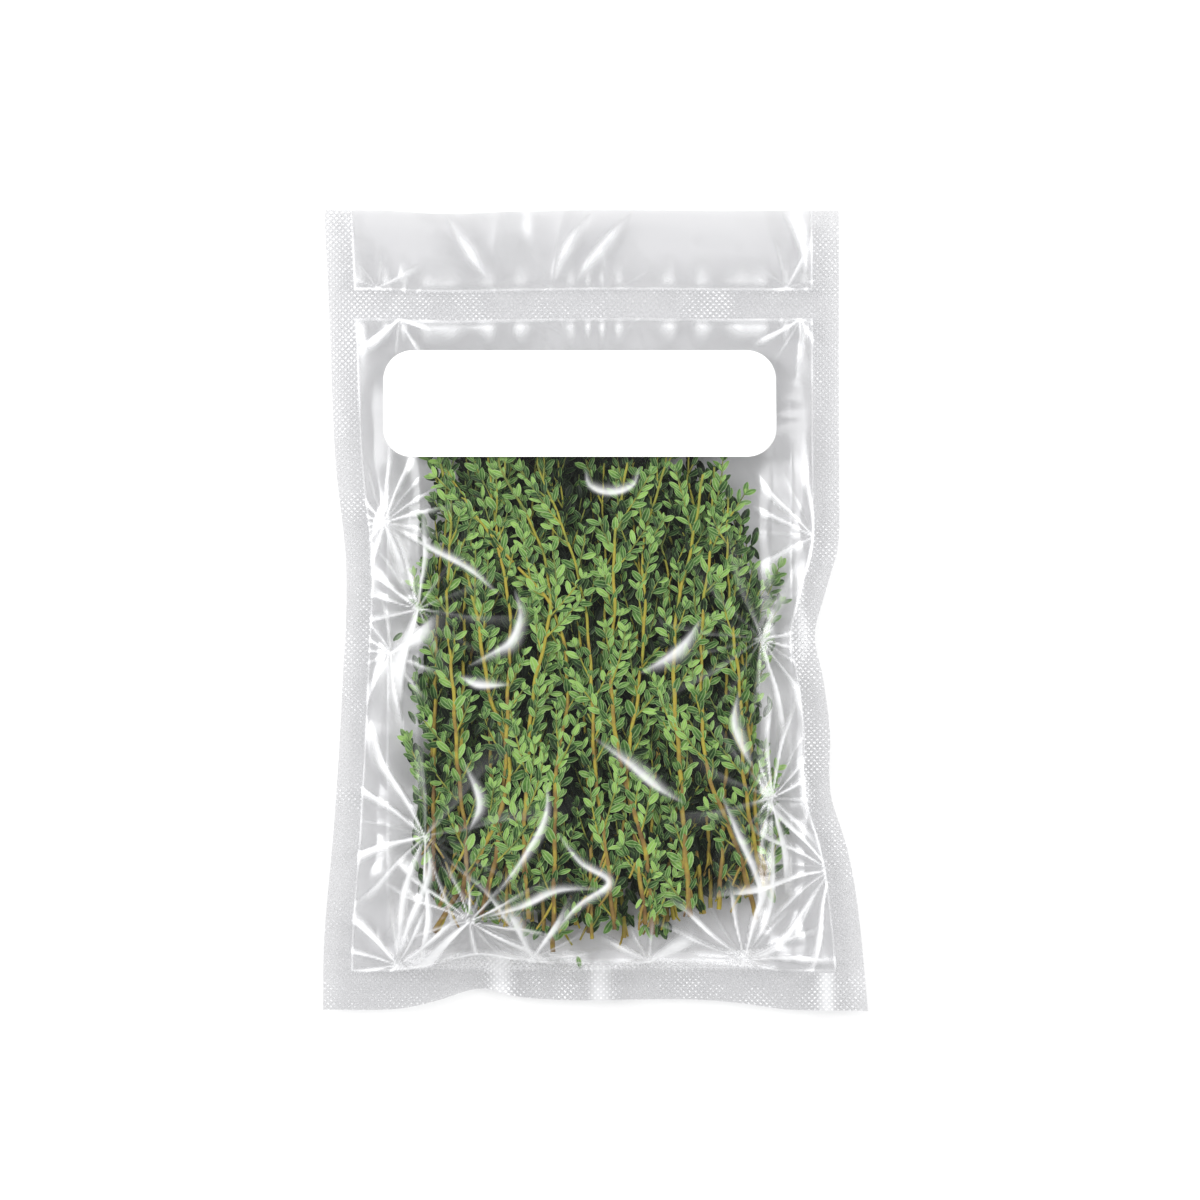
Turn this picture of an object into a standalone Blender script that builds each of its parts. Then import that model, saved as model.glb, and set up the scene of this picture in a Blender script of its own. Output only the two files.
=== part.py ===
"""A vacuum-packed bundle of thyme: fresh sprigs laid side by side in layers between two clear films that are
heat-sealed together round the edge, with a blank label stuck on the front film.

Metres, +Z up. The pack lies on its back film. +Y runs from the cut stems to the growing tips and the label.
"""

import math
import random

import bmesh
import bpy
from mathutils import Matrix, Vector
from mathutils.bvhtree import BVHTree

# --- Driving sizes -------------------------------------------------------------------------------------

POUCH_WIDTH = 0.170
POUCH_LENGTH = 0.250
FILM_THICKNESS = 0.0003
WELD_GAP = 0.0003
SEAL_HEIGHT = 0.0040  # the plane where the two films meet, above the surface that the pack lies on

SIDE_SEAL_WIDTH = 0.0086
BOTTOM_SEAL_WIDTH = 0.0120
# The cross seal closes the mouth a little below the pouch's open top edge.
CROSS_SEAL = (0.0912, 0.1000)

# How far each side of the shrunken pouch is pulled in from the flat one: (place along the side, inset).
LEFT_PULL = ((-0.125, 0.0002), (-0.103, 0.0006), (-0.068, 0.0036), (-0.028, 0.0060), (0.012, 0.0075),
             (0.048, 0.0040), (0.097, 0.0018), (0.125, 0.0005))
RIGHT_PULL = ((-0.125, 0.0000), (-0.096, 0.0027), (-0.076, 0.0060), (-0.057, 0.0115), (-0.038, 0.0117),
              (-0.022, 0.0138), (-0.008, 0.0164), (0.006, 0.0130), (0.020, 0.0092), (0.036, 0.0088),
              (0.125, 0.0090))
BOTTOM_PULL = ((-0.085, 0.0002), (-0.062, 0.0004), (-0.050, 0.0028), (-0.036, 0.0067), (-0.024, 0.0044),
               (-0.010, 0.0033), (0.030, 0.0034), (0.046, 0.0022), (0.060, 0.0004), (0.085, 0.0000))
TOP_PULL = ((-0.085, 0.0003), (-0.066, 0.0005), (-0.048, 0.0016), (-0.020, 0.0008), (0.010, 0.0003),
            (0.045, 0.0008), (0.085, 0.0004))

# The bundle's footprint, where the films part, and how far each side takes to reach full thickness.
FOOTPRINT_LEFT, LEFT_RISE = -0.0650, 0.0115
FOOTPRINT_RIGHT, RIGHT_RISE = 0.0615, 0.0115
FOOTPRINT_BOTTOM, BOTTOM_RISE = -0.1125, 0.0120
FOOTPRINT_TOP, TOP_RISE = 0.0800, 0.0440
FRONT_SWELL = 0.0098  # how far the front film stands above the seal plane over the bundle
BACK_SWELL = 0.0048  # how far the back film would hang below it if the surface did not flatten it
CROWN = 0.10  # how much lower the front film stands over the bundle's sides than over its middle

# The slow waves in the flat web and the seals: (height, radians per metre along X and along Y, start).
WEB_WAVES = ((0.0011, 9, 52, 0.6), (0.0008, 71, -17, 0.0))

LABEL_WIDTH = 0.1223
LABEL_HEIGHT = 0.0335
LABEL_CORNER = 0.0092
LABEL_CORNER_LINES = (0.45, 1)  # where grid lines cross each corner, as shares of its radius
LABEL_THICKNESS = 0.0003
LABEL_GAP = 0.0004
LEAST_LINE_GAP = 0.0012
LABEL_CENTRE = (-0.0048, 0.0641)

# Sprigs per layer, from the back film to the front film, and the width that each layer's stems cover.
LAYER_SPRIGS = (10, 12, 12, 11)
LAYER_WIDTH = (0.0960, 0.1110, 0.1110, 0.1030)
LAYER_LEAN = (0.0030, -0.0028, 0.0034, -0.0030)  # how far the tips lie to one side of the cut ends
LAYER_DEPTH = 0.0032
BUNDLE_CENTRE = -0.0015
CUT_END = -0.1040
TIP_END = 0.0590
CUT_END_RAGGED = 0.0060
TIP_END_RAGGED = 0.0110
# The bundle is rounded at both ends: how much shorter it is at its sides than along its middle.
CUT_END_ROUNDED = 0.015
TIP_END_ROUNDED = 0.014
# The outermost stems lie this far out, as a share of the layer's half width.
CUT_END_SPREAD = 0.99
TIP_END_SPREAD = 0.95

STEM_RADIUS_CUT = 0.00068
STEM_RADIUS_TIP = 0.00030
STEM_WANDER = 0.00035
STEM_BOW = 0.0018
LEAF_PAIRS = 7
LEAF_LENGTH = 0.0048
LEAF_WIDTH = 0.0022
LEAF_THICKNESS = 0.0005
LEAF_ANGLE = math.radians(56)
LEAF_LIFT = 0.0007
NODE_LENGTH = 0.0009  # the short swollen joint of the stem that a leaf pair grows from

# Single leaves that have dropped off: (x, y, turn in degrees), and their size beside a leaf on a stem.
LOOSE_LEAVES = ((-0.0615, -0.0085, 40), (-0.0050, -0.1098, 100), (0.0592, -0.0690, -35))
LOOSE_LEAF_SCALE = 0.8

CLEAR_FILM = ("clear_film", (0.86, 0.87, 0.88, 0.35), 0.12)
LABEL_STOCK = ("label_stock", (0.93, 0.93, 0.93, 1.0), 0.45)
THYME_LEAF = ("thyme_leaf", (0.13, 0.27, 0.08, 1.0), 0.50)


# --- The pouch's shape ---------------------------------------------------------------------------------


def through(points, at):
    """A smooth curve through (place, value) points, read at one place."""
    if at <= points[0][0]:
        return points[0][1]
    if at >= points[-1][0]:
        return points[-1][1]
    i = next(n for n in range(1, len(points)) if at <= points[n][0])
    (x0, y0), (x1, y1) = points[i - 1], points[i]
    before = points[max(i - 2, 0)]
    after = points[min(i + 1, len(points) - 1)]
    span = x1 - x0
    slope0 = (y1 - before[1]) / (x1 - before[0]) * span
    slope1 = (after[1] - y0) / (after[0] - x0) * span
    t = (at - x0) / span
    return (
        (2 * t**3 - 3 * t**2 + 1) * y0
        + (t**3 - 2 * t**2 + t) * slope0
        + (3 * t**2 - 2 * t**3) * y1
        + (t**3 - t**2) * slope1
    )


def ramp(distance, rise):
    """A quarter sine: steep where the film leaves the flat web, level once it is over the bundle."""
    return math.sin(math.pi / 2 * min(1.0, max(0.0, distance / rise)))


def fullness(x, y):
    """0 on the flat web round the bundle, 1 over the bundle."""
    return (
        ramp(x - FOOTPRINT_LEFT, LEFT_RISE)
        * ramp(FOOTPRINT_RIGHT - x, RIGHT_RISE)
        * ramp(y - FOOTPRINT_BOTTOM, BOTTOM_RISE)
        * ramp(FOOTPRINT_TOP - y, TOP_RISE)
    )


def web_wave(x, y):
    """The slow rise and fall of the flat web and the seals, which lie free of the surface below."""
    side = abs(x) / (POUCH_WIDTH / 2)
    end = abs(y) / (POUCH_LENGTH / 2)
    looseness = max(side, end) ** 3
    height = 0.0
    for high, turn_x, turn_y, start in WEB_WAVES:
        height += high * math.sin(turn_x * x + turn_y * y + start)
    return looseness * height


def front_height(x, y):
    """The inner face of the front film."""
    crown = 1 - CROWN * (x / FOOTPRINT_RIGHT) ** 2
    return SEAL_HEIGHT + WELD_GAP / 2 + web_wave(x, y) + FRONT_SWELL * crown * fullness(x, y)


def back_height(x, y):
    """The inner face of the back film, flattened by the surface that the pack lies on."""
    hanging = SEAL_HEIGHT - WELD_GAP / 2 + web_wave(x, y) - BACK_SWELL * fullness(x, y)
    return max(FILM_THICKNESS, hanging)


def pouch_point(x, y):
    """Where a point of the flat pouch lies once the vacuum has pulled its sides in."""
    half_width, half_length = POUCH_WIDTH / 2, POUCH_LENGTH / 2
    across = (x + half_width) / POUCH_WIDTH
    along = (y + half_length) / POUCH_LENGTH
    left = -half_width + through(LEFT_PULL, y)
    right = half_width - through(RIGHT_PULL, y)
    near_bottom = max(0.0, 1 - along * 3)
    near_top = max(0.0, along * 3 - 2)
    pulled_x = left + (right - left) * across
    pulled_y = y + near_bottom * through(BOTTOM_PULL, pulled_x) - near_top * through(TOP_PULL, pulled_x)
    return pulled_x, pulled_y


def mirrored(stations):
    return sorted({-s for s in stations} | set(stations))


# Grid lines of the films: the seals' inner edges, the web, and the shoulders of the bundle.
SIDE_SEAL_EDGE = POUCH_WIDTH / 2 - SIDE_SEAL_WIDTH
BOTTOM_SEAL_EDGE = BOTTOM_SEAL_WIDTH - POUCH_LENGTH / 2
COLUMNS = mirrored((POUCH_WIDTH / 2, SIDE_SEAL_EDGE, 0.0710, 0.0660, 0.0625, 0.0585, 0.0530, 0.0400,
                    0.0210, 0.0))
ROWS = (-POUCH_LENGTH / 2, BOTTOM_SEAL_EDGE, -0.1105, -0.1070, -0.1010, -0.0850, -0.0600, -0.0300, 0.0,
        0.0200, 0.0360, 0.0450, 0.0540, 0.0630, 0.0720, 0.0800, 0.0860, *CROSS_SEAL, 0.1125,
        POUCH_LENGTH / 2)


# --- Making the pieces ---------------------------------------------------------------------------------


def clear_scene():
    for obj in list(bpy.data.objects):
        bpy.data.objects.remove(obj)


def make_material(spec):
    name, colour, roughness = spec
    material = bpy.data.materials.new(name)
    material.use_nodes = True
    shader = material.node_tree.nodes["Principled BSDF"]
    shader.inputs["Base Color"].default_value = colour
    shader.inputs["Roughness"].default_value = roughness
    shader.inputs["Metallic"].default_value = 0.0
    shader.inputs["Alpha"].default_value = colour[3]
    return material


def add_object(name, mesh, material, collection):
    mesh.materials.append(material)
    obj = bpy.data.objects.new(name, mesh)
    collection.objects.link(obj)
    return obj


def make_film(name, height_of, outward, material, collection):
    """A film is a grid whose lines follow the seals and the bundle's shoulders, thickened by Solidify."""
    bm = bmesh.new()
    bmesh.ops.create_grid(bm, x_segments=len(COLUMNS) - 1, y_segments=len(ROWS) - 1, size=0.5)
    for vert in bm.verts:
        column = round((vert.co.x + 0.5) * (len(COLUMNS) - 1))
        row = round((vert.co.y + 0.5) * (len(ROWS) - 1))
        x, y = pouch_point(COLUMNS[column], ROWS[row])
        vert.co = (x, y, height_of(x, y))
    mesh = bpy.data.meshes.new(name)
    bm.to_mesh(mesh)
    bm.free()
    film = add_object(name, mesh, material, collection)
    thickness = film.modifiers.new("Thickness", "SOLIDIFY")
    thickness.thickness = FILM_THICKNESS
    thickness.offset = outward
    for polygon in mesh.polygons:
        polygon.use_smooth = True
    return film


def label_lines(middle, size, film_lines):
    """Where the label's grid lines run along one axis: its edges, its corners and the film's folds."""
    edges = [middle - size / 2, middle + size / 2]
    corners = []
    for share in LABEL_CORNER_LINES:
        corners += [edges[0] + LABEL_CORNER * share, edges[1] - LABEL_CORNER * share]
    folds = [line for line in film_lines if edges[0] + LABEL_CORNER < line < edges[1] - LABEL_CORNER]
    lines = []
    for line in sorted(edges + corners + folds):
        if not lines or line - lines[-1] > LEAST_LINE_GAP:
            lines.append(line)
    return lines


def make_label(film, material, collection):
    """A rounded rectangle cut from flat stock, bent down onto the outer face of the front film."""
    bpy.context.view_layer.update()
    film_surface = BVHTree.FromObject(film, bpy.context.evaluated_depsgraph_get())
    centre_x, centre_y = LABEL_CENTRE
    columns = label_lines(centre_x, LABEL_WIDTH, [pouch_point(c, centre_y)[0] for c in COLUMNS])
    rows = label_lines(centre_y, LABEL_HEIGHT, [pouch_point(centre_x, r)[1] for r in ROWS])
    bm = bmesh.new()
    bmesh.ops.create_grid(bm, x_segments=len(columns) - 1, y_segments=len(rows) - 1, size=0.5)
    straight_x = LABEL_WIDTH / 2 - LABEL_CORNER
    straight_y = LABEL_HEIGHT / 2 - LABEL_CORNER
    for vert in bm.verts:
        x = columns[round((vert.co.x + 0.5) * (len(columns) - 1))] - centre_x
        y = rows[round((vert.co.y + 0.5) * (len(rows) - 1))] - centre_y
        past_x = max(0.0, abs(x) - straight_x) / LABEL_CORNER
        past_y = max(0.0, abs(y) - straight_y) / LABEL_CORNER
        if past_x > 0 and past_y > 0:
            # Rounds the square corner patch to a quarter disc.
            reach = max(past_x, past_y) / math.hypot(past_x, past_y)
            x = math.copysign(straight_x + past_x * reach * LABEL_CORNER, x)
            y = math.copysign(straight_y + past_y * reach * LABEL_CORNER, y)
        x += centre_x
        y += centre_y
        film_top = film_surface.ray_cast(Vector((x, y, 0.1)), Vector((0, 0, -1)))[0]
        vert.co = (x, y, film_top.z + LABEL_GAP)
    mesh = bpy.data.meshes.new("label")
    bm.to_mesh(mesh)
    bm.free()
    label = add_object("label", mesh, material, collection)
    thickness = label.modifiers.new("Thickness", "SOLIDIFY")
    thickness.thickness = LABEL_THICKNESS
    thickness.offset = 1
    return label


def side_face(cap, direction):
    """The face beside an extruded cap that looks most towards direction."""
    middle = cap.calc_center_median()
    sides = {face for edge in cap.edges for face in edge.link_faces if face is not cap}
    return max(sides, key=lambda face: (face.calc_center_median() - middle).dot(direction))


def extruded(bm, face):
    return bmesh.ops.extrude_discrete_faces(bm, faces=[face])["faces"][0]


def reshaped(bm, face, centre, turn, size):
    """Moves a face to centre, turned about Z and scaled by size along Y and Z."""
    old = face.calc_center_median()
    to_old = Matrix.Translation(-old)
    bmesh.ops.scale(bm, vec=(1, size[0], size[1]), space=to_old, verts=face.verts[:])
    bmesh.ops.rotate(bm, cent=old, matrix=Matrix.Rotation(turn, 3, "Z"), verts=face.verts[:])
    bmesh.ops.translate(bm, vec=centre - old, verts=face.verts[:])


def grow_leaf(bm, face, side, scale, lift):
    """Draws one leaf out of the side of a stem joint: a narrow foot, a broad middle and a point."""
    foot = face.calc_center_median()
    way = Vector((side * math.sin(LEAF_ANGLE), math.cos(LEAF_ANGLE), 0))
    height = max(v.co.z for v in face.verts) - min(v.co.z for v in face.verts)
    length = max(v.co.y for v in face.verts) - min(v.co.y for v in face.verts)
    middle = extruded(bm, face)
    reshaped(
        bm,
        middle,
        foot + way * LEAF_LENGTH * scale * 0.52 + Vector((0, 0, lift * 0.6)),
        side * (math.pi / 2 - LEAF_ANGLE),
        (LEAF_WIDTH * scale / length, LEAF_THICKNESS / height),
    )
    tip = extruded(bm, middle)
    point = foot + way * LEAF_LENGTH * scale + Vector((0, 0, lift))
    bmesh.ops.pointmerge(bm, verts=tip.verts[:], merge_co=point)


def grow_sprig(bm, route, dice):
    """One sprig: a square stem drawn out along its route, with a pair of leaves at each joint."""
    start = route(0.0)
    ring = bmesh.ops.create_circle(bm, cap_ends=True, segments=4, radius=STEM_RADIUS_CUT * math.sqrt(2))
    squared = Matrix.Rotation(math.pi / 4, 4, "Z")
    upright = Matrix.Translation(start) @ Matrix.Rotation(math.pi / 2, 4, "X")
    bmesh.ops.transform(bm, matrix=upright @ squared, verts=ring["verts"])
    first = bm.faces[:][0]
    # The cut end stays behind as a copy, so that the stem is closed.
    cut_end = bmesh.ops.duplicate(bm, geom=[first])
    back = next(item for item in cut_end["geom"] if isinstance(item, bmesh.types.BMFace))
    back.normal_flip()
    cap = first
    if cap.normal.y < 0:
        cap.normal_flip()
        back.normal_flip()
    sprig_length = (route(1.0) - start).length
    joint_share = NODE_LENGTH / sprig_length
    places = []
    for pair in range(LEAF_PAIRS):
        joint = (pair + 1.0) / (LEAF_PAIRS + 0.35)
        places += [(joint - joint_share, False), (joint, True)]
    places.append((1.0, False))
    radius = STEM_RADIUS_CUT
    for share, leafy in places:
        goal = route(share)
        new_radius = STEM_RADIUS_CUT + (STEM_RADIUS_TIP - STEM_RADIUS_CUT) * share
        cap = extruded(bm, cap)
        old = cap.calc_center_median()
        shrink = new_radius / radius
        bmesh.ops.scale(bm, vec=(shrink,) * 3, space=Matrix.Translation(-old), verts=cap.verts[:])
        bmesh.ops.translate(bm, vec=goal - old, verts=cap.verts[:])
        radius = new_radius
        if leafy:
            scale = dice.uniform(0.86, 1.0) * (0.80 + 0.20 * math.sin(math.pi * min(1.0, share * 1.2)))
            for side in (-1, 1):
                lift = dice.uniform(-LEAF_LIFT, LEAF_LIFT)
                grow_leaf(bm, side_face(cap, Vector((side, 0, 0))), side, scale, lift)
    bmesh.ops.remove_doubles(bm, verts=bm.verts[:], dist=1e-6)


def press(bm, depth):
    """Presses a sprig from its own level layer in between the films, so that layers never cross."""
    for vert in bm.verts:
        x, y, z = vert.co
        floor = back_height(x, y) + WELD_GAP
        ceiling = front_height(x, y) - WELD_GAP
        share = (depth + z) / (LAYER_DEPTH * len(LAYER_SPRIGS))
        vert.co.z = floor + (ceiling - floor) * share


def sprig_route(layer, lane, dice):
    """The line of one stem, from its cut end at 0 to its tip at 1, in its own level layer."""
    count = LAYER_SPRIGS[layer]
    across = -1 + 2 * (lane + 0.5) / count
    half = LAYER_WIDTH[layer] / 2
    x_cut = BUNDLE_CENTRE + across * half * CUT_END_SPREAD - LAYER_LEAN[layer] / 2
    x_tip = BUNDLE_CENTRE + across * half * TIP_END_SPREAD + LAYER_LEAN[layer] / 2
    y_cut = CUT_END + CUT_END_ROUNDED * across**2 + dice.uniform(0, CUT_END_RAGGED)
    y_tip = TIP_END - TIP_END_ROUNDED * across**2 - dice.uniform(0, TIP_END_RAGGED)
    bow = STEM_BOW * math.sin(1.3 * layer + 2.1 * across)
    phase = dice.uniform(0, 2 * math.pi)

    def route(share):
        x = x_cut + (x_tip - x_cut) * share + bow * math.sin(math.pi * share)
        x += STEM_WANDER * math.sin(phase + 9 * share)
        return Vector((x, y_cut + (y_tip - y_cut) * share, 0.0))

    return route


def make_sprigs(material, collection):
    dice = random.Random(11)
    number = 0
    for layer, count in enumerate(LAYER_SPRIGS):
        for lane in range(count):
            number += 1
            bm = bmesh.new()
            grow_sprig(bm, sprig_route(layer, lane, dice), dice)
            press(bm, (layer + 0.5) * LAYER_DEPTH)
            bmesh.ops.recalc_face_normals(bm, faces=bm.faces[:])
            name = f"sprig_{number:02d}"
            mesh = bpy.data.meshes.new(name)
            bm.to_mesh(mesh)
            bm.free()
            add_object(name, mesh, material, collection)


def make_loose_leaves(material, collection):
    """Single leaves that have dropped off and lie between the films beside the bundle."""
    for number, (x, y, turn) in enumerate(LOOSE_LEAVES, 1):
        bm = bmesh.new()
        bmesh.ops.create_uvsphere(bm, u_segments=8, v_segments=4, radius=0.5)
        flat_size = (LEAF_LENGTH * LOOSE_LEAF_SCALE, LEAF_WIDTH * LOOSE_LEAF_SCALE)
        size = Matrix.Diagonal((*flat_size, LEAF_THICKNESS, 1))
        middle = (front_height(x, y) + back_height(x, y)) / 2
        place = Matrix.Translation((x, y, middle)) @ Matrix.Rotation(math.radians(turn), 4, "Z")
        bmesh.ops.transform(bm, matrix=place @ size, verts=bm.verts[:])
        name = f"loose_leaf_{number}"
        mesh = bpy.data.meshes.new(name)
        bm.to_mesh(mesh)
        bm.free()
        add_object(name, mesh, material, collection)


def build():
    clear_scene()
    pack = bpy.data.collections.new("thyme_pack")
    bpy.context.scene.collection.children.link(pack)
    film = make_material(CLEAR_FILM)
    make_film("back_film", back_height, -1, film, pack)
    front = make_film("front_film", front_height, 1, film, pack)
    make_label(front, make_material(LABEL_STOCK), pack)
    leaf = make_material(THYME_LEAF)
    make_sprigs(leaf, pack)
    make_loose_leaves(leaf, pack)


build()
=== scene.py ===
import math
import random

import bpy
import numpy as np
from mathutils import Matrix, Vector, noise


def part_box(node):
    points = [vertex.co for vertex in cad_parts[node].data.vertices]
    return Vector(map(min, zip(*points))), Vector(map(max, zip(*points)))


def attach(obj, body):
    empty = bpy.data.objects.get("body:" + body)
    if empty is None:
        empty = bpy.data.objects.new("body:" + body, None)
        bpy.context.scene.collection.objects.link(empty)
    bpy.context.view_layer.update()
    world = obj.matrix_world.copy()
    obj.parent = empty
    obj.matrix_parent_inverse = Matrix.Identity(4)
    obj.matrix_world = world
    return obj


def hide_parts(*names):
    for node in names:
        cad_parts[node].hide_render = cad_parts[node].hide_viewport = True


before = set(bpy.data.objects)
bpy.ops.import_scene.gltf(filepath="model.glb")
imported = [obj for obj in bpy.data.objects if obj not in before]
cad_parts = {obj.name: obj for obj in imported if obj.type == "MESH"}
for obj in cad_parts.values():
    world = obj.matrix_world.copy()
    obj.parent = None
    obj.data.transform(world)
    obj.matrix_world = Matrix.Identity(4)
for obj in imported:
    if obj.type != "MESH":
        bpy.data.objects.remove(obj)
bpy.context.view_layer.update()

# --- Back film ------------------------------------------------------------------------------------
# The lower of the pouch's two panels: clear nylon and polyethylene film, lying on the table under the bundle.
# It was heat-sealed to the front film on three sides, and closed by the cross seal once it was filled and
# emptied of air. The vacuum pulled its sides in and gathered it into sharp creases round the bundle.

POUCH_WIDTH = 0.170
POUCH_LENGTH = 0.250
FILM_THICKNESS = 0.0003
SEAL_HEIGHT = 0.0040
WELD_GAP = 0.0003
SIDE_SEAL_WIDTH = 0.0086
BOTTOM_SEAL_WIDTH = 0.0120
CROSS_SEAL = (0.0912, 0.1000)

# How far each side of the pouch is pulled in: (place along the side, inset).
LEFT_PULL = ((-0.125, 0.0002), (-0.103, 0.0006), (-0.068, 0.0036), (-0.028, 0.0060), (0.012, 0.0075),
             (0.048, 0.0040), (0.097, 0.0018), (0.125, 0.0005))
RIGHT_PULL = ((-0.125, 0.0000), (-0.096, 0.0027), (-0.076, 0.0060), (-0.057, 0.0115), (-0.038, 0.0117),
              (-0.022, 0.0138), (-0.008, 0.0164), (0.006, 0.0130), (0.020, 0.0092), (0.036, 0.0088),
              (0.125, 0.0090))
BOTTOM_PULL = ((-0.085, 0.0002), (-0.062, 0.0004), (-0.050, 0.0028), (-0.036, 0.0067), (-0.024, 0.0044),
               (-0.010, 0.0033), (0.030, 0.0034), (0.046, 0.0022), (0.060, 0.0004), (0.085, 0.0000))
TOP_PULL = ((-0.085, 0.0003), (-0.066, 0.0005), (-0.048, 0.0016), (-0.020, 0.0008), (0.010, 0.0003),
            (0.045, 0.0008), (0.085, 0.0004))

# The bundle's footprint, where the films part, and how far each side takes to reach full thickness.
FOOTPRINT_LEFT, LEFT_RISE = -0.0650, 0.0115
FOOTPRINT_RIGHT, RIGHT_RISE = 0.0615, 0.0115
FOOTPRINT_BOTTOM, BOTTOM_RISE = -0.1125, 0.0120
FOOTPRINT_TOP, TOP_RISE = 0.0800, 0.0440
FRONT_SWELL = 0.0098
BACK_SWELL = 0.0048
CROWN = 0.10

# Where the shrunken film is pinched into a star of folds: (x, y, folds, how far they run).
PINCHES = (
    (-0.0657, 0.0271, 9, 0.021),
    (-0.0548, 0.0002, 8, 0.025),
    (-0.0635, -0.0136, 7, 0.018),
    (-0.0526, -0.0702, 10, 0.034),
    (-0.0388, -0.0965, 11, 0.024),
    (-0.0616, -0.1109, 8, 0.022),
    (-0.0194, -0.1087, 9, 0.019),
    (0.0682, 0.0227, 11, 0.024),
    (0.0516, -0.0092, 9, 0.026),
    (0.0548, -0.0584, 9, 0.024),
    (0.0732, -0.0812, 10, 0.028),
    (0.0463, -0.1087, 9, 0.024),
    (0.0170, -0.1095, 7, 0.013),
    (-0.0680, 0.1005, 5, 0.012),
    (-0.0310, 0.1005, 5, 0.018),
    (-0.0138, 0.1005, 6, 0.020),
    (0.0080, 0.1005, 5, 0.012),
    (0.0600, 0.1005, 6, 0.015),
    (-0.0610, 0.0905, 6, 0.013),
    (-0.0440, 0.0905, 6, 0.009),
    (-0.0190, 0.0905, 5, 0.010),
    (0.0130, 0.0905, 5, 0.009),
    (0.0420, 0.0905, 5, 0.009),
    (0.0640, 0.0905, 6, 0.016),
)

# Long creases, each (half width, rise, points it runs through).
CREASES = (
    (0.0032, 0.0006, ((-0.0031, 0.0437), (-0.0016, 0.0383), (0.0047, 0.0361), (0.0116, 0.0383),
                      (0.0141, 0.0443))),
    (0.0040, 0.0009, ((-0.0250, 0.0061), (-0.0232, -0.0017), (-0.0260, -0.0095), (-0.0304, -0.0127),
                      (-0.0391, -0.0174))),
    (0.0034, 0.0006, ((-0.0422, -0.0205), (-0.0360, -0.0236), (-0.0260, -0.0233))),
    (0.0046, 0.0010, ((0.0329, -0.0027), (0.0278, -0.0102), (0.0219, -0.0152), (0.0141, -0.0196))),
    (0.0040, 0.0009, ((-0.0003, -0.0399), (0.0103, -0.0477), (0.0188, -0.0549), (0.0278, -0.0602))),
    (0.0030, 0.0006, ((0.0388, -0.0565), (0.0438, -0.0690), (0.0510, -0.0880), (0.0463, -0.1087))),
    (0.0040, 0.0009, ((0.0444, -0.0252), (0.0429, -0.0346), (0.0454, -0.0424), (0.0491, -0.0496))),
    (0.0028, 0.0006, ((-0.0147, -0.0533), (-0.0156, -0.0643), (-0.0222, -0.0768), (-0.0332, -0.0915))),
    (0.0028, 0.0007, ((-0.0122, -0.0684), (-0.0047, -0.0784), (0.0041, -0.0846), (-0.0063, -0.0925),
                      (-0.0194, -0.1087))),
    (0.0034, 0.0006, ((-0.0407, -0.0471), (-0.0360, -0.0596), (-0.0391, -0.0690))),
    (0.0030, 0.0008, ((-0.0388, -0.0965), (-0.0235, -0.0925), (-0.0110, -0.0871), (0.0016, -0.0865))),
    (0.0030, 0.0008, ((-0.0526, -0.0702), (-0.0595, -0.0878), (-0.0616, -0.1109))),
    (0.0030, 0.0008, ((-0.0526, -0.0702), (-0.0516, -0.0815), (-0.0579, -0.0972), (-0.0616, -0.1109))),
    (0.0028, 0.0007, ((-0.0657, 0.0271), (-0.0516, 0.0192), (-0.0391, 0.0124), (-0.0297, 0.0045))),
    (0.0028, 0.0007, ((0.0463, -0.1087), (0.0548, -0.0909), (0.0548, -0.0584))),
    (0.0030, 0.0008, ((0.0732, -0.0812), (0.0579, -0.1034), (0.0463, -0.1087))),
    (0.0060, 0.0010, ((-0.0469, 0.1241), (-0.0391, 0.1109), (-0.0313, 0.1003))),
    (0.0050, 0.0009, ((-0.0016, 0.1235), (-0.0094, 0.1125), (-0.0135, 0.1003))),
    (0.0056, 0.0010, ((0.0110, 0.1235), (0.0016, 0.1130), (-0.0075, 0.1003))),
    (0.0050, 0.0008, ((0.0579, 0.1241), (0.0642, 0.1140), (0.0657, 0.1003))),
)

# How steeply a pinch's folds rise on their way out, shared between them.
FOLD_SLOPE = 0.5

# Where the cut ends of the bundle lie: further down in the middle than at the sides.
CUT_END = -0.1000
CUT_END_ROUNDED = 0.015
BUNDLE_HALF_WIDTH = 0.050

# How strong the painted highlight on the crests of the long creases is, over the pouch and above the cross
# seal.
PAINTED_CREASE_HIGHLIGHT = 0.92
PAINTED_SKIRT_CREASE_HIGHLIGHT = 0.60

# The tucks along the cross seal: how high they stand, and how strong the painted highlight on their crests
# is.
TUCK_RISE = 0.0003
PAINTED_TUCK_HIGHLIGHT = 0.72

# How far the front film's visible face stands off the bundle's leaves.
FRONT_CLEARANCE = 0.0002


def through(points, at):
    """A smooth curve through (place, value) points, read at each place of an array."""
    places = np.array([p[0] for p in points])
    values = np.array([p[1] for p in points])
    at = np.clip(at, places[0], places[-1])
    i = np.clip(np.searchsorted(places, at), 1, len(places) - 1)
    before = np.maximum(i - 2, 0)
    after = np.minimum(i + 1, len(places) - 1)
    span = places[i] - places[i - 1]
    t = (at - places[i - 1]) / span
    slope0 = (values[i] - values[before]) / (places[i] - places[before]) * span
    slope1 = (values[after] - values[i - 1]) / (places[after] - places[i - 1]) * span
    return (
        (2 * t**3 - 3 * t**2 + 1) * values[i - 1]
        + (t**3 - 2 * t**2 + t) * slope0
        + (3 * t**2 - 2 * t**3) * values[i]
        + (t**3 - t**2) * slope1
    )


def ramp(distance, rise):
    return np.sin(np.pi / 2 * np.clip(distance / rise, 0, 1))


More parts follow.
